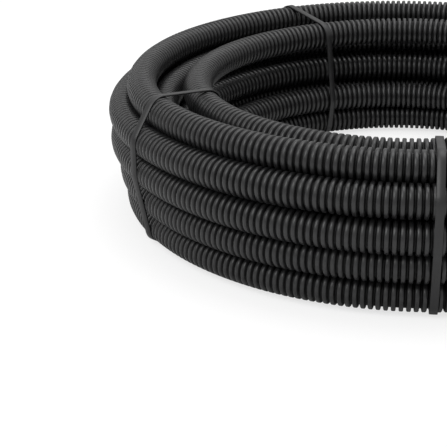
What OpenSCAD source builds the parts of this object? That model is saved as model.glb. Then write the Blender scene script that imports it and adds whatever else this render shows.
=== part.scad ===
// Strapped coil of corrugated conduit, lying flat with its eye upright.
// The turns are wound in three columns and held by four cable ties. Two free ends show the
// hollow corrugated wall.

/* [Conduit] */
// Outside diameter over the crests
conduit_od = 25; // [20:1:32]
// Inside diameter at the roots
bore_d = 18.3; // [13:0.1:19]
// Thickness of the corrugated wall
wall = 0.7; // [0.5:0.1:0.9]
// Distance from one wave to the next
wave_pitch = 5.2; // [4.6:0.1:6.5]
// Width of a crest, measured along the conduit
crest_width = 3.2; // [2.8:0.1:3.6]
// Radius on each shoulder of a crest
crest_round = 1.2; // [0.9:0.1:1.3]

/* [Coil] */
// Radius of the widest turn, to the middle of the conduit
coil_r = 243; // [220:1:290]
// Direction round the coil where the top outer turn has climbed to its place
outer_start_at = -34; // [-50:1:-30]
// Direction round the coil where the top inner turn has crossed to its place
inner_start_at = 74; // [70:1:78]
// Direction round the coil where the turn under it starts to cross to the middle
under_end_at = -54; // [-56:1:-45]
// Angle round the coil that a crossover from turn to turn takes
crossover_angle = 28; // [24:1:29]

/* [Free ends] */
// Number of waves on the straight part of each free end
end_waves = 11; // [6:1:13]
// Direction round the coil where the outer end leaves its turn
outer_end_at = 10; // [6:1:12]
// Number of waves over which the outer end bends
outer_bend_waves = 6; // [5:1:8]
// Radius of that bend
outer_bend_r = 150; // [130:5:180]
// Direction round the coil where the inner end leaves its turn
inner_end_at = 22; // [20:1:26]
// Number of waves over which the inner end bends
inner_bend_waves = 12; // [10:1:13]
// Radius of that bend
inner_bend_r = 110; // [100:5:130]
// Lean of that bend: 0 is straight into the eye and 90 is straight up
inner_bend_lean = 45; // [40:5:60]

/* [Straps] */
// Width of a strap
strap_width = 6; // [4:0.5:9]
// Thickness of a strap
strap_thickness = 1.3; // [1:0.1:2]
// Clearance between a strap and the crests that it holds
strap_gap = 0.3; // [0.2:0.05:0.5]
// Direction of the strap at the front, at the middle of the bundle
front_strap_at = 276; // [270:1:280]
// How far that strap is turned off the radius
front_strap_skew = -9; // [-20:1:20]
// Direction of the strap at the left
left_strap_at = 210.5; // [200:0.5:220]
// How far that strap is turned off the radius
left_strap_skew = 31; // [-35:1:35]
// Direction of the strap at the back
back_strap_at = 121.5; // [110:0.5:135]
// How far that strap is turned off the radius
back_strap_skew = 17; // [-25:1:25]
// Direction of the strap at the right
right_strap_at = 16; // [15:0.5:17]
// How far that strap is turned off the radius
right_strap_skew = 0; // [-3:1:3]
// Length of a strap's head, along the strap
head_length = 9; // [7:0.5:11]
// Height of the head over the strap
head_height = 5; // [4:0.5:6]
// How far the head is wider than the strap on each side
head_cheek = 1.6; // [1:0.1:2.5]
// Length of the tail left standing out of the head
tail_length = 12; // [5:1:20]

/* [Hidden] */
$fn = 48;

conduit_black = "#1b1b1c";
strap_black = "#242426";

// Turns as [inset from the widest turn, height of the middle], in conduit diameters.
// Each presses about a thirtieth of a diameter into the turn that it rests on.
OUTER_TURNS = [[0.48, 0.50], [0.25, 1.45], [0, 2.39], [0.01, 3.36]];
MIDDLE_TURNS = [[1.44, 0.50], [1.45, 1.46], [1.92, 2.42], [0.96, 2.46], [1.29, 3.36]];
INNER_TURNS = [[2.40, 0.50], [2.82, 1.37]];
TOP_OUTER_TURN = [0.62, 4.11];
TOP_INNER_TURN = [2.47, 3.86];
// Runs under the top inner turn on the right side only
UNDER_TURN = [2.70, 2.95];
FULL_TURNS = concat(OUTER_TURNS, MIDDLE_TURNS, INNER_TURNS);
STRAPPED_TURNS = concat(FULL_TURNS, [TOP_OUTER_TURN, TOP_INNER_TURN]);

// Extra angle at each end of a crossover, so that it runs into its turns
crossover_bite = 0.6;

// Middle of the bundle of turns
middle_r = coil_r - 1.3 * conduit_od;

crest_r = conduit_od / 2;
bore_r = bore_d / 2;
root_r = bore_r + wall;

function turn_r(turn) = coil_r - turn[0] * conduit_od;
function turn_z(turn) = strap_gap + strap_thickness + turn[1] * conduit_od;
function on_turn(turn, at) = [turn_r(turn) * cos(at), turn_r(turn) * sin(at), turn_z(turn)];
function bend_angle(waves, bend_r) = waves * wave_pitch / bend_r * 180 / PI;

// Section of one turn, in the plane through the middle of the coil
module turn_disc(turn) {
    translate([turn_r(turn), turn_z(turn)]) circle(d = conduit_od);
}

// Part of a turn, from one direction round the coil to another
module turn_arc(turn, from, to) {
    rotate([0, 0, from]) rotate_extrude(angle = to - from) turn_disc(turn);
}

// Conduit that crosses clockwise from one turn to another: one arc through both, in a plane
// that leans with the climb
module crossover(from_turn, from_at, to_turn) {
    start = on_turn(from_turn, from_at);
    end = on_turn(to_turn, from_at - crossover_angle);
    chord = end - start;
    level = norm([chord.x, chord.y]);
    radius = (turn_r(from_turn) + turn_r(to_turn)) / 2;
    half_angle = asin(norm(chord) / 2 / radius);
    translate((start + end) / 2) rotate([0, -atan2(chord.z, level), atan2(chord.y, chord.x)])
        translate([0, -radius * cos(half_angle), 0])
            rotate_extrude(angle = 2 * (half_angle + crossover_bite), start = 90 - half_angle - crossover_bite)
                translate([radius, 0]) circle(d = conduit_od);
}

// Half section of one wave: a flat-topped crest with round shoulders
module wave(width, top_r, shoulder_r) {
    flank = width / 2 - shoulder_r;
    for (side = [-1, 1]) translate([top_r - shoulder_r, side * flank]) circle(r = shoulder_r);
    translate([0, -width / 2]) square([top_r - shoulder_r, width]);
    translate([0, -flank]) square([top_r, 2 * flank]);
}

module outer_wave() wave(crest_width, crest_r, crest_round);
module inner_wave() wave(crest_width - 2 * wall, crest_r - wall, crest_round - wall);

// Hollow corrugated conduit along +Y, cut in the roots at both ends
module corrugated_length(waves) {
    length = waves * wave_pitch;
    rotate([-90, 0, 0]) rotate_extrude() difference() {
        union() {
            square([root_r, length]);
            for (i = [0:waves - 1]) translate([0, (i + 0.5) * wave_pitch]) outer_wave();
        }
        translate([0, -1]) square([bore_r, length + 2]);
        for (i = [0:waves - 1]) translate([0, (i + 0.5) * wave_pitch]) inner_wave();
    }
}

// Hollow corrugated conduit that ends at the origin heading along +Y, bent towards -X
module corrugated_bend(waves, bend_r) {
    bend = bend_angle(waves, bend_r);
    step = bend / waves;
    translate([-bend_r, 0, 0]) difference() {
        union() {
            rotate_extrude(angle = bend, start = -bend) translate([bend_r, 0]) circle(r = root_r);
            for (i = [0:waves - 1]) rotate([0, 0, -(i + 0.5) * step]) translate([bend_r, 0, 0])
                rotate([90, 0, 0]) rotate_extrude() outer_wave();
        }
        rotate_extrude(angle = bend + 1, start = -bend - 0.5) translate([bend_r, 0]) circle(r = bore_r);
        for (i = [0:waves - 1]) rotate([0, 0, -(i + 0.5) * step]) translate([bend_r, 0, 0])
            rotate([90, 0, 0]) rotate_extrude() inner_wave();
    }
}

// Free end that sets out from the origin along +Y, bends towards -X and runs straight to its mouth
module free_end(bend_waves, bend_r) {
    translate([-bend_r, 0, 0]) rotate([0, 0, bend_angle(bend_waves, bend_r)]) translate([bend_r, 0, 0]) {
        corrugated_bend(bend_waves, bend_r);
        corrugated_length(end_waves);
    }
}

module conduit_coil() color(conduit_black) {
    rotate_extrude() for (turn = FULL_TURNS) turn_disc(turn);
    turn_arc(TOP_OUTER_TURN, outer_end_at, 360 + outer_start_at);
    crossover(OUTER_TURNS[3], outer_start_at + crossover_angle, TOP_OUTER_TURN);
    turn_arc(TOP_INNER_TURN, inner_start_at - 360, inner_end_at);
    crossover(TOP_INNER_TURN, inner_start_at, UNDER_TURN);
    turn_arc(UNDER_TURN, under_end_at, inner_start_at - crossover_angle);
    crossover(UNDER_TURN, under_end_at, MIDDLE_TURNS[4]);
}

// End of the top outer turn, which lifts as it leaves the coil
module conduit_end_outer() color(conduit_black)
    translate(on_turn(TOP_OUTER_TURN, outer_end_at)) rotate([0, 0, outer_end_at])
        rotate([180, 90, 0]) free_end(outer_bend_waves, outer_bend_r);

// End of the top inner turn, which bends up and into the eye
module conduit_end_inner() color(conduit_black)
    translate(on_turn(TOP_INNER_TURN, inner_end_at)) rotate([0, 0, inner_end_at])
        rotate([0, inner_bend_lean, 0]) free_end(inner_bend_waves, inner_bend_r);

// A strap lies in an upright plane through the middle of the bundle, turned off the radius by a
// skew. The turns cross that plane at a slant.
function slant(r, skew) = asin(middle_r * sin(skew) / r);
function along_strap(r, skew) = r * cos(slant(r, skew)) - middle_r * cos(skew);
function in_strap(turn, skew) = [along_strap(turn_r(turn), skew), turn_z(turn)];

// Outline of a strap pulled tight round the turns, standing clear of them by a distance
module strap_outline(turns, skew, clear) {
    hull() for (turn = turns) translate(in_strap(turn, skew))
        scale([1 / cos(slant(turn_r(turn), skew)), 1]) circle(r = crest_r + clear);
}

// Moves its children to the middle of the strap's straight run from one turn to the next, with
// the run along +X and +Y pointing out of the bundle
module on_run(from_turn, to_turn, skew) {
    run = in_strap(to_turn, skew) - in_strap(from_turn, skew);
    reach = (crest_r + strap_gap) / cos(slant((turn_r(from_turn) + turn_r(to_turn)) / 2, skew));
    translate(in_strap(from_turn, skew) + run / 2) rotate(atan2(run.y, run.x))
        translate([0, reach]) children();
}

module centred_extrude(width) translate([0, 0, -width / 2]) linear_extrude(width) children();

// Cable tie pulled tight round the turns, with its head and the cut tail on one straight run
module strap(at, skew, turns, head_from, head_to) color(strap_black)
    rotate([0, 0, at]) translate([middle_r, 0, 0]) rotate([90, 0, skew]) {
        centred_extrude(strap_width) difference() {
            strap_outline(turns, skew, strap_gap + strap_thickness);
            strap_outline(turns, skew, strap_gap);
        }
        centred_extrude(strap_width + 2 * head_cheek) on_run(head_from, head_to, skew)
            translate([-head_length / 2, 0]) square([head_length, strap_thickness + head_height]);
        centred_extrude(strap_width) on_run(head_from, head_to, skew)
            translate([0, strap_thickness + head_height / 2])
                square([head_length / 2 + tail_length, strap_thickness]);
    }

module strap_front() strap(front_strap_at, front_strap_skew, STRAPPED_TURNS, INNER_TURNS[1], TOP_INNER_TURN);
module strap_left() strap(left_strap_at, left_strap_skew, STRAPPED_TURNS, INNER_TURNS[1], TOP_INNER_TURN);
module strap_back() strap(back_strap_at, back_strap_skew, STRAPPED_TURNS, OUTER_TURNS[3], OUTER_TURNS[2]);
module strap_right() strap(right_strap_at, right_strap_skew, concat(STRAPPED_TURNS, [UNDER_TURN]),
                           INNER_TURNS[1], UNDER_TURN);

conduit_coil();
conduit_end_outer();
conduit_end_inner();
strap_front();
strap_left();
strap_back();
strap_right();
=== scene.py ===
"""Strapped coil of corrugated conduit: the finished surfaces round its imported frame.

One continuous winding of thirteen turns runs from the inner free end to the outer one. Geometry
Nodes sweep the corrugated wall along it. Four cable ties hold the turns.
"""

from __future__ import annotations

import logging
import math
from dataclasses import dataclass, field
from enum import Enum
from typing import Any, Iterable, Sequence

import bmesh
import bpy
import numpy as np
from mathutils import Matrix, Vector

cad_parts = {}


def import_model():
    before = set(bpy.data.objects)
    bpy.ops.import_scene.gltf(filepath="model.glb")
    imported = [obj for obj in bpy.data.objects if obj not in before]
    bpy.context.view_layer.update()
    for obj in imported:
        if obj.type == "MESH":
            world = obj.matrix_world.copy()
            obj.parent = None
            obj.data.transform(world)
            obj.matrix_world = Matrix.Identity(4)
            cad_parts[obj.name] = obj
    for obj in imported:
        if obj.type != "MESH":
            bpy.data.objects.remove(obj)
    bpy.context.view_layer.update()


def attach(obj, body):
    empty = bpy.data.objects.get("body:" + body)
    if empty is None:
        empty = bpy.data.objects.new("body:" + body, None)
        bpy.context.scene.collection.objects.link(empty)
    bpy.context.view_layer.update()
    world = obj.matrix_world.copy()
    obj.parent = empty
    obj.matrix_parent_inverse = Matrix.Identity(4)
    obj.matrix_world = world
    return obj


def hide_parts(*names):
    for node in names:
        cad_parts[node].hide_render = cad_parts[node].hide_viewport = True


LOG = logging.getLogger("conduit_coil")
MM = 0.001


# ---------------------------------------------------------------------------------------------
# Node building
# ---------------------------------------------------------------------------------------------


class Socket:
    """Output of a node, whose operators add Math nodes to its tree."""

    def __init__(self, graph: "Graph", output: bpy.types.NodeSocket) -> None:
        """Wrap an output.

        Args:
            graph: The graph that the output belongs to.
            output: The output itself.
        """
        self.graph = graph
        self.output = output

    def named(self, name: str) -> "Socket":
        """Return another output of the same node, by name."""
        return Socket(self.graph, self.output.node.outputs[name])

    def math(self, operation: str, *operands: "Socket | float") -> "Socket":
        """Add a Math node.

        Args:
            operation: The node's operation.
            *operands: The values after this one.

        Returns:
            The node's result.
        """
        values = {index: value for index, value in enumerate((self, *operands))}
        return self.graph.add("ShaderNodeMath", {"operation": operation}, values)

    def clamped(self, low: float = 0.0, high: float = 1.0) -> "Socket":
        """Return the value kept between two bounds."""
        return self.math("MAXIMUM", low).math("MINIMUM", high)

    def __add__(self, other: "Socket | float") -> "Socket":
        """Add."""
        return self.math("ADD", other)

    __radd__ = __add__

    def __sub__(self, other: "Socket | float") -> "Socket":
        """Subtract."""
        return self.math("SUBTRACT", other)

    def __rsub__(self, other: float) -> "Socket":
        """Subtract from a number."""
        values = {0: other, 1: self}
        return self.graph.add("ShaderNodeMath", {"operation": "SUBTRACT"}, values)

    def __mul__(self, other: "Socket | float") -> "Socket":
        """Multiply."""
        return self.math("MULTIPLY", other)

    __rmul__ = __mul__

    def __truediv__(self, other: "Socket | float") -> "Socket":
        """Divide."""
        return self.math("DIVIDE", other)


class Graph:
    """Node tree that is filled through one method."""

    def __init__(self, tree: bpy.types.NodeTree) -> None:
        """Start on an empty tree."""
        self.tree = tree
        tree.nodes.clear()

    def add(
        self,
        kind: str,
        settings: dict[str, Any] | None = None,
        inputs: dict[str | int, Any] | None = None,
    ) -> Socket:
        """Add a node.

        Args:
            kind: The node's type.
            settings: Properties that are set before the inputs.
            inputs: Values or links, by the socket's name or number.

        Returns:
            The node's first output that is in use.
        """
        node = self.tree.nodes.new(kind)
        for name, value in (settings or {}).items():
            if name == "ramp":
                self._set_ramp(node.color_ramp, value)
            else:
                setattr(node, name, value)
        for key, value in (inputs or {}).items():
            self._feed(self._input(node, key), value)
        used = [output for output in node.outputs if output.enabled] or [None]
        return Socket(self, used[0])

    def link(self, value: Socket, node: bpy.types.Node, name: str) -> None:
        """Link a value to a named input of a node."""
        self._feed(self._input(node, name), value)

    @staticmethod
    def _input(node: bpy.types.Node, key: str | int) -> bpy.types.NodeSocket:
        """Find an input by number, or by name among those in use."""
        if isinstance(key, int):
            return [socket for socket in node.inputs if socket.enabled][key]
        return next(s for s in node.inputs if s.enabled and s.name == key)

    def _feed(self, target: bpy.types.NodeSocket, value: Any) -> None:
        """Link an output to an input, or set the input's own value."""
        if isinstance(value, Socket):
            self.tree.links.new(value.output, target)
        else:
            target.default_value = value

    @staticmethod
    def _set_ramp(ramp: bpy.types.ColorRamp, stops: Sequence[tuple[float, float]]) -> None:
        """Give a colour ramp grey stops, as position and level."""
        while len(ramp.elements) < len(stops):
            ramp.elements.new(0.5)
        for element, (position, level) in zip(ramp.elements, stops):
            element.position = position
            element.color = (level, level, level, 1.0)


# ---------------------------------------------------------------------------------------------
# Finishes
# ---------------------------------------------------------------------------------------------


def principled(name: str, metallic: float = 0.0, coat: float = 0.0) -> tuple[Graph, bpy.types.Node, bpy.types.Material]:
    """Start a material on a Principled shader.

    Args:
        name: The material's name.
        metallic: How metallic it is.
        coat: Weight of its clear coat.

    Returns:
        The graph, the shader's node and the material.
    """
    material = bpy.data.materials.new(name)
    material.use_nodes = True
    graph = Graph(material.node_tree)
    shader = graph.add("ShaderNodeBsdfPrincipled", None, {"Metallic": metallic, "Coat Weight": coat})
    graph.add("ShaderNodeOutputMaterial", None, {"Surface": shader})
    return graph, shader.output.node, material


def grey_mix(graph: Graph, factor: Socket | float, low: Sequence[float], high: Sequence[float]) -> Socket:
    """Mix two colours.

    Args:
        graph: The graph to add to.
        factor: 0 for the first colour and 1 for the second.
        low: The first colour.
        high: The second colour.

    Returns:
        The mixed colour.
    """
    mix = graph.add(
        "ShaderNodeMix",
        {"data_type": "RGBA"},
        {"Factor": factor, "A": (*low, 1.0), "B": (*high, 1.0)},
    )
    return mix


@dataclass(frozen=True)
class ConduitPlastic:
    """Satin black extruded plastic, rougher in the roots, with painted shade there: a darker colour and metallic that
    dims their reflections.
    """

    # Painted shade: the roots are given a darker colour than the crests to stand for the shade in the deep valleys.
    root_shade_colour: tuple[float, float, float] = (0.0035, 0.0035, 0.0037)
    crest_colour: tuple[float, float, float] = (0.0125, 0.0125, 0.013)
    dust_colour: tuple[float, float, float] = (0.034, 0.0335, 0.032)
    roughness: float = 0.36
    grain_depth: float = 0.00003

    def material(self) -> bpy.types.Material:
        """Build the material.

        Returns:
            The finished material.
        """
        graph, shader, material = principled("conduit_plastic")
        place = graph.add("ShaderNodeTexCoord").named("Object")
        relief = graph.add("ShaderNodeAttribute", {"attribute_name": "relief"}).named("Fac")
        clouds = graph.add(
            "ShaderNodeTexNoise", None, {"Vector": place, "Scale": 34.0, "Detail": 4.0, "Roughness": 0.6}
        )
        grain = graph.add(
            "ShaderNodeTexNoise", None, {"Vector": place, "Scale": 1500.0, "Detail": 3.0, "Roughness": 0.55}
        )
        # Colour runs from the painted shade of the roots to the plastic's own colour on the crests.
        body = grey_mix(graph, relief, self.root_shade_colour, self.crest_colour)
        dusty = ((clouds - 0.52) * 3.0).clamped() * 0.16 + ((grain - 0.62) * 4.0).clamped() * 0.25
        mix = graph.add(
            "ShaderNodeMix",
            {"data_type": "RGBA"},
            {"Factor": dusty, "A": body, "B": (*self.dust_colour, 1.0)},
        )
        rough = self.roughness + (1.0 - relief) * 0.16 + (clouds - 0.5) * 0.16 + (grain - 0.5) * 0.08
        graph.link(mix, shader, "Base Color")
        graph.link(rough.clamped(0.2, 0.8), shader, "Roughness")
        # Painted shade: metallic in the roots, with their near-black colour, dims the reflections there as if the
        # valleys were shaded.
        graph.link((1.0 - relief * 1.6).clamped() * 0.6, shader, "Metallic")
        bump = graph.add(
            "ShaderNodeBump", None, {"Strength": 0.35, "Distance": self.grain_depth, "Height": grain}
        )
        graph.link(bump, shader, "Normal")
        return material


@dataclass(frozen=True)
class TieNylon:
    """Smooth black nylon of the cable ties, a little paler than the conduit."""

    colour: tuple[float, float, float] = (0.009, 0.009, 0.0095)
    scuffed: tuple[float, float, float] = (0.03, 0.03, 0.031)
    roughness: float = 0.42
    grain_depth: float = 0.00002

    def material(self) -> bpy.types.Material:
        """Build the material.

        Returns:
            The finished material.
        """
        graph, shader, material = principled("tie_nylon")
        place = graph.add("ShaderNodeTexCoord").named("Object")
        clouds = graph.add(
            "ShaderNodeTexNoise", None, {"Vector": place, "Scale": 90.0, "Detail": 3.0, "Roughness": 0.6}
        )
        grain = graph.add(
            "ShaderNodeTexNoise", None, {"Vector": place, "Scale": 2200.0, "Detail": 2.0, "Roughness": 0.5}
        )
        worn = ((clouds - 0.5) * 2.5).clamped() * 0.35 + ((grain - 0.6) * 4.0).clamped() * 0.15
        colour = grey_mix(graph, worn, self.colour, self.scuffed)
        graph.link(colour, shader, "Base Color")
        graph.link(self.roughness + (clouds - 0.5) * 0.2 + (grain - 0.5) * 0.06, shader, "Roughness")
        bump = graph.add(
            "ShaderNodeBump", None, {"Strength": 0.3, "Distance": self.grain_depth, "Height": grain}
        )
        graph.link(bump, shader, "Normal")
        return material


@dataclass(frozen=True)
class FloorPaint:
    """White studio floor, lifted to plain white where nothing shades it."""

    colour: tuple[float, float, float] = (0.8, 0.8, 0.8)
    seen_colour: tuple[float, float, float] = (0.3, 0.3, 0.3)
    lift: float = 0.72

    def material(self) -> bpy.types.Material:
        """Build the material.

        Returns:
            The finished material.
        """
        material = bpy.data.materials.new("floor_paint")
        material.use_nodes = True
        graph = Graph(material.node_tree)
        seen = graph.add("ShaderNodeLightPath").named("Is Camera Ray")
        colour = grey_mix(graph, seen, self.colour, self.seen_colour)
        paint = graph.add("ShaderNodeBsdfDiffuse", None, {"Color": colour})
        glow = graph.add("ShaderNodeEmission", None, {"Color": (1.0, 1.0, 1.0, 1.0), "Strength": seen * self.lift})
        both = graph.add("ShaderNodeAddShader", None, {0: paint, 1: glow})
        graph.add("ShaderNodeOutputMaterial", None, {"Surface": both})
        return material


# ---------------------------------------------------------------------------------------------
# Path of the winding
# ---------------------------------------------------------------------------------------------


def smooth(values: np.ndarray) -> np.ndarray:
    """Ease values from 0 to 1 with level ends, holding them outside that range."""
    held = np.clip(values, 0.0, 1.0)
    return held * held * (3.0 - 2.0 * held)


@dataclass
class Winding:
    """Path of the conduit through its thirteen turns.

    Angles are in degrees, clockwise round the coil seen from above, and run on from turn to turn.
    Places in the bundle's section are a radius and a height, in conduit diameters.
    """

    diameter: float = 25 * MM
    lift: float = 1.6 * MM
    places: tuple[tuple[float, float], ...] = (
        (7.23, 3.92),
        (7.02, 2.97),
        (8.38, 3.34),
        (8.78, 2.44),
        (7.80, 2.34),
        (8.36, 1.45),
        (6.92, 1.37),
        (7.10, 0.50),
        (8.22, 0.50),
        (9.24, 0.50),
        (9.45, 1.48),
        (9.70, 2.47),
        (9.69, 3.46),
        (9.05, 4.22),
    )
    crossings: tuple[float, ...] = (
        286.0, 414.0, 765.0, 1120.0, 1470.0, 1822.0, 2176.0, 2532.0, 2890.0, 3250.0, 3610.0, 3968.0, 4326.0,
    )
    crossing_angle: float = 28.0
    start: float = -22.0
    end: float = 4670.0
    step: float = 2.0
    inner_joint: tuple[float, float] = (181.25 * MM, 98.1 * MM)
    outer_joint: tuple[float, float] = (227.5 * MM, 104.35 * MM)
    joint_ease: float = 26.0
    closest: float = 0.95
    settling_rounds: int = 90
    settling_rate: float = 0.6
    stiffness: float = 0.2
    angles: np.ndarray = field(init=False)
    section: np.ndarray = field(init=False)

    def __post_init__(self) -> None:
        """Lay the turns and let them settle."""
        count = round((self.end - self.start) / self.step) + 1
        self.angles = self.start + self.step * np.arange(count)
        self.section = self._settled(self._laid())

    def _laid(self) -> np.ndarray:
        """Put every step of the path in its place, before the turns press on each other.

        Returns:
            Radius and height of each step, in metres.
        """
        places = np.array(self.places) * self.diameter + np.array((0.0, self.lift))
        laid = np.repeat(places[:1], len(self.angles), axis=0)
        for crossing, (old, new) in zip(self.crossings, zip(places, places[1:])):
            share = smooth((self.angles - crossing) / self.crossing_angle)[:, None]
            laid = laid + share * (new - old)
        turn = np.radians(self.angles)
        wander = np.stack(
            (
                0.9 * np.sin(1.31 * turn + 0.4) + 0.6 * np.sin(2.17 * turn + 2.1),
                0.4 * np.sin(1.43 * turn + 1.2) + 0.3 * np.sin(2.61 * turn + 0.3),
            ),
            axis=1,
        )
        return laid + wander * MM * (1.0 - self._near_ends())

    def _near_ends(self) -> np.ndarray:
        """Return 1 at the two joints with the free ends, easing to 0 along the turns."""
        from_start = (self.angles - self.start) / self.joint_ease
        from_end = (self.end - self.angles) / self.joint_ease
        return (1.0 - smooth(np.minimum(from_start, from_end)))[:, None]

    def _settled(self, laid: np.ndarray) -> np.ndarray:
        """Push apart the turns that press too deep into each other.

        Args:
            laid: Radius and height of each step.

        Returns:
            The same, settled, with its ends on the joints.
        """
        per_turn = round(360.0 / self.step)
        turns = len(laid) // per_turn
        clear = self.closest * self.diameter
        lowest = self.lift + self.diameter / 2
        shift = np.zeros_like(laid)
        for _ in range(self.settling_rounds):
            now = laid + shift
            push = np.zeros_like(laid)
            for apart in range(per_turn, per_turn * turns + 1, per_turn):
                gap = now[apart:] - now[:-apart]
                length = np.linalg.norm(gap, axis=1, keepdims=True)
                half = gap / length * np.maximum(clear - length, 0.0) / 2
                push[apart:] += half
                push[:-apart] -= half
            shift += self.settling_rate * push
            shift[:, 1] = np.maximum(shift[:, 1], lowest - laid[:, 1])
            bend = shift[:-2] - 2 * shift[1:-1] + shift[2:]
            shift[1:-1] += self.stiffness * bend
        settled = laid + shift
        ends = np.where(
            (self.angles < (self.start + self.end) / 2)[:, None], self.inner_joint, self.outer_joint
        )
        near = self._near_ends()
        return settled * (1.0 - near) + ends * near

    def points(self) -> np.ndarray:
        """Return the path's points, in metres."""
        turn = np.radians(-self.angles)
        radius, height = self.section.T
        return np.stack((radius * np.cos(turn), radius * np.sin(turn), height), axis=1)

    def cut_by(self, place: np.ndarray, ahead: np.ndarray) -> np.ndarray:
        """Find where the conduit crosses an upright plane on one side of the coil.

        Args:
            place: A level point of the plane, as X and Y.
            ahead: The plane's level direction, as X and Y.

        Returns:
            For every crossing, how far it lies along the plane, its height, and how much wider
            than itself the plane cuts it.
        """
        points = self.points()
        off = (points[:, :2] - place) @ np.array((ahead[1], -ahead[0]))
        at = np.flatnonzero(np.sign(off[:-1]) != np.sign(off[1:]))
        share = (off[at] / (off[at] - off[at + 1]))[:, None]
        crossings = points[at] * (1.0 - share) + points[at + 1] * share
        heading = points[at + 1] - points[at]
        heading /= np.linalg.norm(heading, axis=1, keepdims=True)
        along = (crossings[:, :2] - place) @ ahead
        wider = 1.0 / np.abs(heading[:, :2] @ np.array((ahead[1], -ahead[0])))
        here = np.abs(along) < 4 * self.diameter
        return np.stack((along, crossings[:, 2], wider), axis=1)[here]


# ---------------------------------------------------------------------------------------------
# Conduit
# ---------------------------------------------------------------------------------------------


class Surface(Enum):
    """Which surface of the wall a sweep makes."""

    OUTER = "outer"
    INNER = "inner"


@dataclass
class Corrugation:
    """Sizes of the corrugated wall."""

    outside: float = 25 * MM
    bore: float = 18.3 * MM
    wall: float = 0.7 * MM
    pitch: float = 5.2 * MM
    crest: float = 3.2 * MM
    shoulder: float = 1.2 * MM

    def outer_rings(self, fine: bool) -> list[tuple[float, float]]:
        """Give the rings of one wave of the outer surface.

        Args:
            fine: Whether the shoulders are rounded in more steps.

        Returns:
            Each ring's place along the wave and its radius.
        """
        return self._rings(self.outside / 2, self.bore / 2 + self.wall, self.crest, self.shoulder, fine)

    def inner_rings(self) -> list[tuple[float, float]]:
        """Give the rings of one wave of the inner surface."""
        wall = self.wall
        return self._rings(
            self.outside / 2 - wall, self.bore / 2, self.crest - 2 * wall, self.shoulder - wall, True
        )

    def _rings(
        self, top: float, root: float, width: float, shoulder: float, fine: bool
    ) -> list[tuple[float, float]]:
        """Work out the rings of one wave, from valley to valley."""
        start = (self.pitch - width) / 2
        if fine:
            half = [(start - 0.10 * MM, root), (start + 0.02 * MM, root + 0.14 * MM)]
            for angle in (8, 34, 60, 90):
                turn = math.radians(angle)
                half.append((start + shoulder * (1 - math.cos(turn)), top - shoulder * (1 - math.sin(turn))))
        else:
            half = [
                (start - 0.06 * MM, root),
                (start + 0.05 * MM, top - 0.6 * MM),
                (start + 0.55 * MM, top),
            ]
        return half + [(self.pitch - place, radius) for place, radius in reversed(half)]


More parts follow.
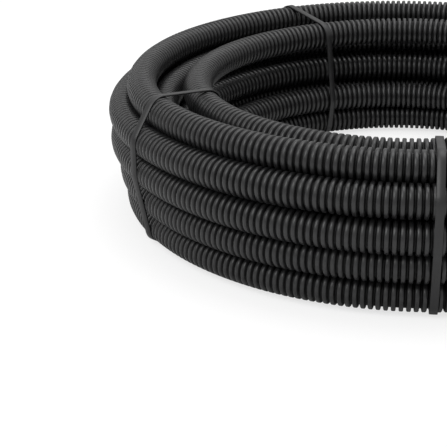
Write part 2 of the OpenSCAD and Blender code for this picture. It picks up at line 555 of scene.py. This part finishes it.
class SweepTree:
    """Geometry Nodes tree that sweeps waves along a path."""

    def __init__(self, rings: Sequence[tuple[float, float]], root: float, top: float, name: str) -> None:
        """Build the tree.

        Args:
            rings: Place along the wave and radius of each ring.
            root: Radius at the roots.
            top: Radius at the crests.
            name: The tree's name.
        """
        self.tree = bpy.data.node_groups.new(name, "GeometryNodeTree")
        self.sockets: dict[str, str] = {}
        graph = Graph(self.tree)
        self._declare("Geometry", "NodeSocketGeometry", "INPUT")
        for label, kind in (
            ("First wave", "NodeSocketInt"),
            ("Waves", "NodeSocketInt"),
            ("Pitch", "NodeSocketFloat"),
            ("Offset", "NodeSocketFloat"),
            ("Facets", "NodeSocketInt"),
            ("Caps", "NodeSocketBool"),
            ("Inward", "NodeSocketBool"),
            ("Material", "NodeSocketMaterial"),
        ):
            self._declare(label, kind, "INPUT")
        self._declare("Geometry", "NodeSocketGeometry", "OUTPUT")
        given = graph.add("NodeGroupInput")
        path = graph.add("GeometryNodeMeshToCurve", None, {"Mesh": given.named("Geometry")})
        path = graph.add("GeometryNodeCurveSplineType", {"spline_type": "CATMULL_ROM"}, {"Curve": path})
        path = graph.add("GeometryNodeSetSplineResolution", None, {"Geometry": path, "Resolution": 6})
        per_wave = float(len(rings))
        count = given.named("Waves") * per_wave + 1.0
        line = graph.add("GeometryNodeMeshLine", None, {"Count": count})
        line = graph.add("GeometryNodeMeshToCurve", None, {"Mesh": line})
        index = graph.add("GeometryNodeInputIndex")
        wave = (index / per_wave + 0.001).math("FLOOR")
        phase = index - wave * per_wave
        place = self._pick(graph, phase, [place for place, _ in rings])
        radius = self._pick(graph, phase, [radius for _, radius in rings])
        last = (index - given.named("Waves") * per_wave).math("GREATER_THAN", -0.5)
        place = place * (1.0 - last)
        along = given.named("Pitch") * (wave + given.named("First wave")) + place + given.named("Offset")
        sample = graph.add(
            "GeometryNodeSampleCurve", {"mode": "LENGTH"}, {"Curves": path, "Length": along}
        )
        line = graph.add(
            "GeometryNodeSetPosition", None, {"Geometry": line, "Position": sample.named("Position")}
        )
        for label, value in (
            ("radius_now", radius),
            ("relief", ((radius - root) / (top - root)).clamped()),
            ("along", along),
        ):
            line = graph.add(
                "GeometryNodeStoreNamedAttribute",
                {"data_type": "FLOAT", "domain": "POINT"},
                {"Geometry": line, "Name": label, "Value": value},
            )
        line = graph.add("GeometryNodeSetCurveNormal", {"mode": "Z_UP"}, {"Curve": line})
        stored = graph.add(
            "GeometryNodeInputNamedAttribute", {"data_type": "FLOAT"}, {"Name": "radius_now"}
        )
        circle = graph.add(
            "GeometryNodeCurvePrimitiveCircle", None, {"Resolution": given.named("Facets"), "Radius": 1.0}
        )
        tube = graph.add(
            "GeometryNodeCurveToMesh",
            None,
            {"Curve": line, "Profile Curve": circle, "Scale": stored, "Fill Caps": given.named("Caps")},
        )
        turned = graph.add("GeometryNodeFlipFaces", None, {"Mesh": tube})
        tube = graph.add(
            "GeometryNodeSwitch",
            {"input_type": "GEOMETRY"},
            {"Switch": given.named("Inward"), "False": tube, "True": turned},
        )
        tube = graph.add("GeometryNodeSetShadeSmooth", None, {"Geometry": tube})
        tube = graph.add("GeometryNodeRealizeInstances", None, {"Geometry": tube})
        tube = graph.add(
            "GeometryNodeSetMaterial", None, {"Geometry": tube, "Material": given.named("Material")}
        )
        graph.add("NodeGroupOutput", None, {"Geometry": tube})

    def _declare(self, name: str, kind: str, side: str) -> None:
        """Declare a named input or output of the tree."""
        socket = self.tree.interface.new_socket(name=name, in_out=side, socket_type=kind)
        if side == "INPUT":
            self.sockets[name] = socket.identifier

    @staticmethod
    def _pick(graph: Graph, phase: Socket, values: Sequence[float]) -> Socket:
        """Pick a number by the ring's place in its wave."""
        node = graph.tree.nodes.new("GeometryNodeIndexSwitch")
        node.data_type = "FLOAT"
        while len(node.index_switch_items) < len(values):
            node.index_switch_items.new()
        graph.link(phase, node, "Index")
        for item, value in zip([s for s in node.inputs if s.identifier.startswith("Item_")], values):
            item.default_value = value
        return Socket(graph, node.outputs[0])

    def sweep(self, name: str, points: np.ndarray, **values: Any) -> bpy.types.Mesh:
        """Sweep waves along a path.

        Args:
            name: Name of the mesh.
            points: The path.
            **values: Values of the tree's inputs, with _ for a space.

        Returns:
            The swept mesh.
        """
        rail = bpy.data.meshes.new(name + "_path")
        edges = [(index, index + 1) for index in range(len(points) - 1)]
        rail.from_pydata([tuple(point) for point in points], edges, [])
        carrier = bpy.data.objects.new(name + "_path", rail)
        bpy.context.scene.collection.objects.link(carrier)
        modifier = carrier.modifiers.new("sweep", "NODES")
        modifier.node_group = self.tree
        for label, value in values.items():
            words = label.replace("_", " ")
            modifier[self.sockets[words[0].upper() + words[1:]]] = value
        depsgraph = bpy.context.evaluated_depsgraph_get()
        mesh = bpy.data.meshes.new_from_object(carrier.evaluated_get(depsgraph))
        mesh.name = name
        carrier.modifiers.remove(modifier)
        bpy.data.objects.remove(carrier)
        bpy.data.meshes.remove(rail)
        return mesh


def add_object(name: str, mesh: bpy.types.Mesh) -> bpy.types.Object:
    """Put a mesh in the scene at the origin.

    Args:
        name: The object's name.
        mesh: Its mesh.

    Returns:
        The new object.
    """
    obj = bpy.data.objects.new(name, mesh)
    bpy.context.scene.collection.objects.link(obj)
    LOG.info("%s: %d faces", name, len(mesh.polygons))
    return obj


def path_length(points: np.ndarray) -> float:
    """Return the length of a path."""
    return float(np.linalg.norm(np.diff(points, axis=0), axis=1).sum())


@dataclass
class WoundConduit:
    """The wound turns, cut between waves into lengths of a handy size."""

    winding: Winding
    corrugation: Corrugation
    finish: bpy.types.Material
    lengths: int = 6
    facets: int = 22
    quick_facets: int = 12

    def build(self) -> list[bpy.types.Object]:
        """Build the turns.

        Returns:
            One object for each length.
        """
        points = self.winding.points()
        length = path_length(points)
        waves = round(length / self.corrugation.pitch)
        pitch = length / waves
        rings = self.corrugation.outer_rings(fine=False)
        root = self.corrugation.bore / 2 + self.corrugation.wall
        tree = SweepTree(rings, root, self.corrugation.outside / 2, "wound_conduit")
        cuts = [round(waves * index / self.lengths) for index in range(self.lengths + 1)]
        built = []
        for number, (first, last) in enumerate(zip(cuts, cuts[1:]), start=1):
            mesh = tree.sweep(
                f"wound_conduit_{number}",
                points,
                first_wave=first,
                waves=last - first,
                pitch=pitch,
                facets=self.facets,
                caps=True,
                material=self.finish,
            )
            built.append(add_object(f"wound_conduit_{number}", mesh))
        LOG.info("wound: %.2f m, %d waves, pitch %.3f mm", length, waves, pitch / MM)
        return built


@dataclass
class FreeEnd:
    """Hollow free end: a bend and a straight run to the cut mouth."""

    name: str
    node: str
    corrugation: Corrugation
    finish: bpy.types.Material
    direction: float
    joint: tuple[float, float]
    clockwise: bool
    lean: float
    bend_waves: int
    bend_radius: float
    straight_waves: int = 11
    facets: int = 48

    def path(self) -> np.ndarray:
        """Lay out the path from the joint to the mouth.

        Returns:
            The path's points.
        """
        turn = math.radians(self.direction)
        outward = Vector((math.cos(turn), math.sin(turn), 0.0))
        heading = Vector((-math.sin(turn), math.cos(turn), 0.0)) * (-1 if self.clockwise else 1)
        lean = math.radians(self.lean)
        side = -outward * math.cos(lean) + Vector((0.0, 0.0, math.sin(lean)))
        base = outward * self.joint[0] + Vector((0.0, 0.0, self.joint[1]))
        pitch = self.corrugation.pitch
        bend = self.bend_waves * pitch / self.bend_radius
        points = []
        steps = self.bend_waves * 4
        for step in range(steps + 1):
            angle = bend * step / steps
            reach = heading * math.sin(angle) + side * (1 - math.cos(angle))
            points.append(base + self.bend_radius * reach)
        axis = heading * math.cos(bend) + side * math.sin(bend)
        for step in range(1, self.straight_waves + 1):
            points.append(points[steps] + axis * (pitch * step))
        return np.array([tuple(point) for point in points])

    def build(self) -> bpy.types.Object:
        """Build the end as one closed wall.

        Returns:
            The new object.
        """
        points = self.path()
        waves = self.bend_waves + self.straight_waves
        pitch = path_length(points) / waves
        size = self.corrugation
        root, crest = size.bore / 2 + size.wall, size.outside / 2
        swept = []
        for surface, rings in ((Surface.OUTER, size.outer_rings(True)), (Surface.INNER, size.inner_rings())):
            thin = size.wall if surface is Surface.INNER else 0.0
            tree = SweepTree(rings, root - thin, crest - thin, f"{self.name}_{surface.value}")
            swept.append(
                tree.sweep(
                    f"{self.name}_{surface.value}",
                    points,
                    first_wave=0,
                    waves=waves,
                    pitch=pitch,
                    facets=self.facets,
                    caps=False,
                    inward=surface is Surface.INNER,
                    material=self.finish,
                )
            )
        return add_object(self.name, self._joined(swept))

    def _joined(self, swept: Sequence[bpy.types.Mesh]) -> bpy.types.Mesh:
        """Join the two surfaces and close the cut edges between them.

        Args:
            swept: The outer surface and the inner surface.

        Returns:
            One closed mesh.
        """
        joined = bmesh.new()
        for mesh in swept:
            joined.from_mesh(mesh)
        bmesh.ops.remove_doubles(joined, verts=joined.verts, dist=1e-7)
        rims = [edge for edge in joined.edges if edge.is_boundary]
        bmesh.ops.bridge_loops(joined, edges=self._rims_near(rims, 0))
        rims = [edge for edge in joined.edges if edge.is_boundary]
        bmesh.ops.bridge_loops(joined, edges=rims)
        bmesh.ops.recalc_face_normals(joined, faces=joined.faces)
        mesh = bpy.data.meshes.new(self.name)
        joined.to_mesh(mesh)
        joined.free()
        mesh.materials.clear()
        mesh.materials.append(self.finish)
        mesh.shade_smooth()
        return mesh

    def _rims_near(self, rims: Sequence[bmesh.types.BMEdge], end: int) -> list[bmesh.types.BMEdge]:
        """Pick the rim edges that lie nearer one end of the path than the other."""
        points = self.path()
        here, there = Vector(points[end]), Vector(points[-1 - end])
        middle = [(edge, (edge.verts[0].co + edge.verts[1].co) / 2) for edge in rims]
        return [edge for edge, at in middle if (at - here).length < (at - there).length]


# ---------------------------------------------------------------------------------------------
# Cable ties
# ---------------------------------------------------------------------------------------------


def hull_of(points: Iterable[tuple[float, float]]) -> list[tuple[float, float]]:
    """Find the convex outline of points, counter-clockwise.

    Args:
        points: The points.

    Returns:
        The corners of the outline.
    """
    ordered = sorted(points)

    def chain(run: Iterable[tuple[float, float]]) -> list[tuple[float, float]]:
        """Build one side of the outline."""
        kept: list[tuple[float, float]] = []
        for point in run:
            while len(kept) > 1 and (
                (kept[-1][0] - kept[-2][0]) * (point[1] - kept[-2][1])
                - (kept[-1][1] - kept[-2][1]) * (point[0] - kept[-2][0])
            ) <= 0:
                kept.pop()
            kept.append(point)
        return kept[:-1]

    return chain(ordered) + chain(reversed(ordered))


@dataclass
class CableTie:
    """Cable tie pulled tight round the bundle, with its head and cut tail on a straight run."""

    name: str
    node: str
    direction: float
    skew: float
    head_outside: bool
    winding: Winding
    finish: bpy.types.Material
    pivot: float = 210.5 * MM
    width: float = 6 * MM
    thickness: float = 1.3 * MM
    gap: float = 0.15 * MM
    head_length: float = 9 * MM
    head_height: float = 5 * MM
    head_cheek: float = 1.6 * MM
    tail_length: float = 12 * MM
    band_edge: float = 0.28 * MM
    band_crown: float = 0.05 * MM
    head_bevel: float = 0.6 * MM
    head_sink: float = 0.2 * MM
    tail_bevel: float = 0.25 * MM
    tail_ease: float = 0.2 * MM
    tail_root: float = 1 * MM
    step: float = 1.5 * MM

    def __post_init__(self) -> None:
        """Set up the upright plane that the tie lies in."""
        turn = math.radians(self.direction)
        turned = math.radians(self.direction + self.skew)
        self.middle = np.array((math.cos(turn), math.sin(turn))) * self.pivot
        self.ahead = np.array((math.cos(turned), math.sin(turned)))

    def build(self) -> bpy.types.Object:
        """Build the tie.

        Returns:
            The new object.
        """
        mesh = bmesh.new()
        loop = self._loop()
        self._band(mesh, loop)
        self._head(mesh, loop)
        bmesh.ops.recalc_face_normals(mesh, faces=mesh.faces)
        data = bpy.data.meshes.new(self.name)
        mesh.to_mesh(data)
        mesh.free()
        data.materials.append(self.finish)
        return add_object(self.name, data)

    def _loop(self) -> np.ndarray:
        """Find the line that the tie's inner face follows.

        Returns:
            Place along the tie's plane and height of its points, evenly spaced, counter-clockwise.
        """
        turn = np.linspace(0.0, 2 * math.pi, 96, endpoint=False)
        reach = self.winding.diameter / 2 + self.gap
        around = np.stack((np.cos(turn), np.sin(turn)), axis=1) * reach
        crossings = self.winding.cut_by(self.middle, self.ahead)
        wider = np.stack((crossings[:, 2], np.ones(len(crossings))), axis=1)
        cloud = (crossings[:, None, :2] + around[None, :, :] * wider[:, None, :]).reshape(-1, 2)
        hull = np.array(hull_of([tuple(point) for point in cloud]))
        closed = np.vstack((hull, hull[:1]))
        run = np.concatenate(([0.0], np.cumsum(np.linalg.norm(np.diff(closed, axis=0), axis=1))))
        count = int(run[-1] / self.step)
        even = np.linspace(0.0, run[-1], count, endpoint=False)
        return np.stack([np.interp(even, run, column) for column in closed.T], axis=1)

    def _place(self, along: float, height: float, across: float) -> Vector:
        """Turn a place in the tie's own plane into a point of the scene."""
        level = self.middle + self.ahead * along + np.array((-self.ahead[1], self.ahead[0])) * across
        return Vector((*level, height))

    def _band(self, mesh: bmesh.types.BMesh, loop: np.ndarray) -> None:
        """Add the band itself, a closed strip with rounded edges."""
        half, thick, edge = self.width / 2, self.thickness, self.band_edge
        section = (
            (-half + edge, 0.0), (half - edge, 0.0), (half, edge), (half, thick - edge),
            (half - edge, thick), (0.0, thick + self.band_crown), (-half + edge, thick),
            (-half, thick - edge), (-half, edge),
        )
        ahead = np.roll(loop, -1, axis=0) - np.roll(loop, 1, axis=0)
        ahead /= np.linalg.norm(ahead, axis=1, keepdims=True)
        outward = np.stack((ahead[:, 1], -ahead[:, 0]), axis=1)
        rings = []
        for point, out in zip(loop, outward):
            rings.append(
                [mesh.verts.new(self._place(*(point + out * up), across)) for across, up in section]
            )
        for ring, following in zip(rings, rings[1:] + rings[:1]):
            for index in range(len(section)):
                after = (index + 1) % len(section)
                face = mesh.faces.new((ring[index], ring[after], following[after], following[index]))
                face.smooth = True

    def _head(self, mesh: bmesh.types.BMesh, loop: np.ndarray) -> None:
        """Add the head and the tail that leaves it."""
        outermost = loop[:, 0].max() if self.head_outside else loop[:, 0].min()
        on_side = np.abs(loop[:, 0] - outermost) < self.width
        side = loop[on_side]
        centre = side[np.argmin(np.abs(side[:, 1] - side[:, 1].mean()))]
        out = 1.0 if self.head_outside else -1.0
        up = -1.0 if self.head_outside else 1.0

        def block(low: tuple[float, float, float], high: tuple[float, float, float], bevel: float) -> None:
            """Add a block with rounded edges, given along, out and across."""
            corners = []
            for along in (low[0], high[0]):
                for away in (low[1], high[1]):
                    for across in (low[2], high[2]):
                        corners.append(
                            mesh.verts.new(self._place(centre[0] + out * away, centre[1] + up * along, across))
                        )
            faces = [
                mesh.faces.new([corners[i] for i in side_])
                for side_ in ((0, 1, 3, 2), (4, 6, 7, 5), (0, 4, 5, 1), (2, 3, 7, 6), (0, 2, 6, 4), (1, 5, 7, 3))
            ]
            edges = list({edge for face in faces for edge in face.edges})
            bmesh.ops.bevel(mesh, geom=edges, offset=bevel, segments=2, affect="EDGES", profile=0.6)

        thick, half = self.thickness, self.width / 2
        cheek = half + self.head_cheek
        end = self.head_length / 2
        block((-end, self.head_sink, -cheek), (end, thick + self.head_height, cheek), self.head_bevel)
        middle = thick + self.head_height / 2
        block(
            (end - self.tail_root, middle - thick / 2, -half + self.tail_ease),
            (end + self.tail_length, middle + thick / 2, half - self.tail_ease),
            self.tail_bevel,
        )


# ---------------------------------------------------------------------------------------------
# Studio
# ---------------------------------------------------------------------------------------------


@dataclass(frozen=True)
class SoftBox:
    """Square soft box that faces the coil."""

    name: str
    place: tuple[float, float, float]
    size: float
    power: float

    def build(self) -> None:
        """Hang the soft box."""
        lamp = bpy.data.lights.new(self.name, "AREA")
        lamp.shape, lamp.size, lamp.energy = "SQUARE", self.size, self.power
        obj = bpy.data.objects.new(self.name, lamp)
        obj.location = self.place
        obj.rotation_euler = Vector(self.place).to_track_quat("Z", "Y").to_euler()
        bpy.context.scene.collection.objects.link(obj)


@dataclass
class Studio:
    """Floor, lights and camera."""

    soft_boxes: tuple[SoftBox, ...] = (
        SoftBox("key_box", (-1.2, -1.4, 2.2), 1.6, 26.0),
        SoftBox("top_box", (0.3, 0.6, 2.4), 2.0, 26.0),
    )
    room_light: float = 0.52
    light_from_above: float = 0.28
    light_from_behind: float = 0.1
    floor_reach: float = 6.0
    focal_length: float = 97.205
    sensor: float = 36.0
    camera_place: tuple[float, float, float] = (0.0, -1.00242, 0.39300)
    camera_right: tuple[float, float, float] = (0.98805825, 0.15310454, -0.01731736)
    camera_up: tuple[float, float, float] = (-0.04400348, 0.3880994, 0.92056643)

    def build(self) -> None:
        """Build the studio."""
        self._floor()
        self._world()
        for soft_box in self.soft_boxes:
            soft_box.build()
        self._camera()

    def _floor(self) -> None:
        """Lay the floor."""
        mesh = bpy.data.meshes.new("floor")
        reach = self.floor_reach
        mesh.from_pydata(
            [(-reach, -reach, 0.0), (reach, -reach, 0.0), (reach, reach, 0.0), (-reach, reach, 0.0)],
            [],
            [(0, 1, 2, 3)],
        )
        mesh.materials.append(FloorPaint().material())
        add_object("floor", mesh)

    def _world(self) -> None:
        """Surround the scene with pale light, a little stronger from above and behind."""
        world = bpy.data.worlds.new("studio_white")
        bpy.context.scene.world = world
        world.use_nodes = True
        graph = Graph(world.node_tree)
        seen = graph.add("ShaderNodeLightPath").named("Is Camera Ray")
        way = graph.add("ShaderNodeTexCoord").named("Generated")
        apart = graph.add("ShaderNodeSeparateXYZ", None, {"Vector": way})
        above = (apart.named("Z") * 1.2).clamped()
        behind = (apart.named("Y") * 0.8 + 0.35).clamped()
        lit = self.room_light + above * self.light_from_above + behind * self.light_from_behind
        strength = lit * (1.0 - seen) + seen
        shade = graph.add("ShaderNodeBackground", None, {"Color": (1.0, 1.0, 1.0, 1.0), "Strength": strength})
        graph.add("ShaderNodeOutputWorld", None, {"Surface": shade})

    def _camera(self) -> None:
        """Set up the camera."""
        lens = bpy.data.cameras.new("camera")
        lens.lens, lens.sensor_width = self.focal_length, self.sensor
        camera = bpy.data.objects.new("camera", lens)
        right, up = Vector(self.camera_right).normalized(), Vector(self.camera_up)
        back = right.cross(up).normalized()
        up = back.cross(right)
        turn = Matrix((right, up, back)).transposed().to_4x4()
        camera.matrix_world = Matrix.Translation(self.camera_place) @ turn
        bpy.context.scene.collection.objects.link(camera)
        bpy.context.scene.camera = camera
        bpy.context.scene.view_settings.view_transform = "Standard"


def bound(pieces: Iterable[bpy.types.Object], slot: str, *nodes: str) -> None:
    """Tie pieces to the frame.

    Args:
        pieces: The pieces.
        slot: Not used.
        *nodes: The nodes of the frame that they stand for.
    """
    for piece in pieces:
        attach(piece, "root")
        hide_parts(*nodes)


def main() -> None:
    """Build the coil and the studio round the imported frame."""
    logging.basicConfig(level=logging.INFO, format="%(name)s %(message)s")
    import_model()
    conduit, nylon = ConduitPlastic().material(), TieNylon().material()
    winding, corrugation = Winding(), Corrugation()
    bound(WoundConduit(winding, corrugation, conduit).build(), "conduit", "conduit_coil")
    for end in (
        FreeEnd(
            "outer_free_end", "conduit_end_outer", corrugation, conduit,
            direction=10.0, joint=winding.outer_joint, clockwise=True,
            lean=90.0, bend_waves=6, bend_radius=150 * MM,
        ),
        FreeEnd(
            "inner_free_end", "conduit_end_inner", corrugation, conduit,
            direction=22.0, joint=winding.inner_joint, clockwise=False,
            lean=45.0, bend_waves=12, bend_radius=110 * MM,
        ),
    ):
        bound([end.build()], "conduit", end.node)
    for tie in (
        CableTie("tie_front", "strap_front", 276.2, -5.5, False, winding, nylon),
        CableTie("tie_left", "strap_left", 210.8, 26.0, False, winding, nylon),
        CableTie("tie_back", "strap_back", 121.8, 12.0, True, winding, nylon),
        CableTie("tie_right", "strap_right", 16.0, 0.0, False, winding, nylon),
    ):
        bound([tie.build()], "strap", tie.node)
    Studio().build()


if __name__ == "__main__":
    main()
